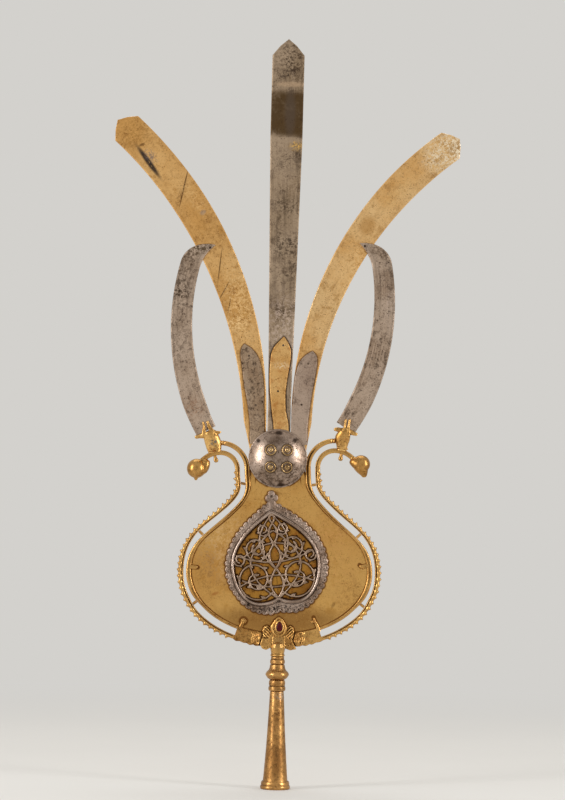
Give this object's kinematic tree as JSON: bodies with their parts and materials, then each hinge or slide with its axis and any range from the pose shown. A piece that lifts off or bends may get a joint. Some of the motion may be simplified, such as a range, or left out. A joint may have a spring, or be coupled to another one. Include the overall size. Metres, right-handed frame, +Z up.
{
  "type": "alam finial",
  "caption": "Finial of a processional standard: turned socket, gilded plate in an openwork frame, pierced medallion, domed boss and tall blades flanked by small sabres.",
  "frame": {"origin": "centre of the socket's mouth, at the foot of the finial", "axes": "+Z up along the staff's axis to the tip of the centre blade, +X to the right seen from the front, and the decorated front faces -Y"},
  "size_m": [0.4662, 0.0436, 1.0121],
  "materials": {
    "gilt_sheet": "worn gilt sheet, satin with brown scuffs",
    "cast_gilt": "worn gilding over a cast and filed surface",
    "steel": "old polished steel, grey-brown with pits",
    "medallion_metal": "dull silvery metal, polished at the ridge",
    "dark_gilt": "darkened gilding",
    "dark_iron": "dark forged iron",
    "garnet": "dark red polished stone"
  },
  "bodies": {
    "root": {"body_plate": "gilt_sheet", "gilded_blade_left": "gilt_sheet", "gilded_blade_right": "gilt_sheet", "foot_ring": "cast_gilt", "socket_sleeve": "cast_gilt", "socket_collar": "cast_gilt", "socket_knop": "cast_gilt", "neck_ring": "cast_gilt", "base_crescent": "cast_gilt", "base_palmette": "cast_gilt", "garnet_bezel": "cast_gilt", "inner_rail_left": "cast_gilt", "inner_rail_right": "cast_gilt", "outer_rail_left": "cast_gilt", "outer_rail_right": "cast_gilt", "hilt_left": "cast_gilt", "hilt_right": "cast_gilt", "hilt_pin_left": "cast_gilt", "hilt_pin_right": "cast_gilt", "bud_left": "cast_gilt", "bud_right": "cast_gilt", "strut_left_lower": "cast_gilt", "strut_left_middle": "cast_gilt", "strut_left_upper": "cast_gilt", "strut_right_lower": "cast_gilt", "strut_right_middle": "cast_gilt", "strut_right_upper": "cast_gilt", "boss_dome": "steel", "centre_blade": "steel", "tongue_centre": "steel", "tongue_left": "steel", "tongue_right": "steel", "sabre_left": "steel", "sabre_right": "steel", "boss_stud_upper_left": "steel", "boss_stud_upper_right": "steel", "boss_stud_lower_left": "steel", "boss_stud_lower_right": "steel", "stud_ring_upper_left": "steel", "stud_ring_upper_right": "steel", "stud_ring_lower_left": "steel", "stud_ring_lower_right": "steel", "medallion": "medallion_metal", "medallion_ground": "dark_gilt", "spigot_washer": "dark_iron", "boss_back_plate": "dark_iron", "medallion_rivet": "dark_iron", "sabre_rivet_left": "dark_iron", "sabre_rivet_right": "dark_iron", "tongue_centre_rivet_upper": "dark_iron", "tongue_centre_rivet_lower": "dark_iron", "tongue_left_rivet_upper": "dark_iron", "tongue_left_rivet_lower": "dark_iron", "tongue_right_rivet_upper": "dark_iron", "tongue_right_rivet_lower": "dark_iron", "garnet": "garnet"}
  },
  "joints": []
}
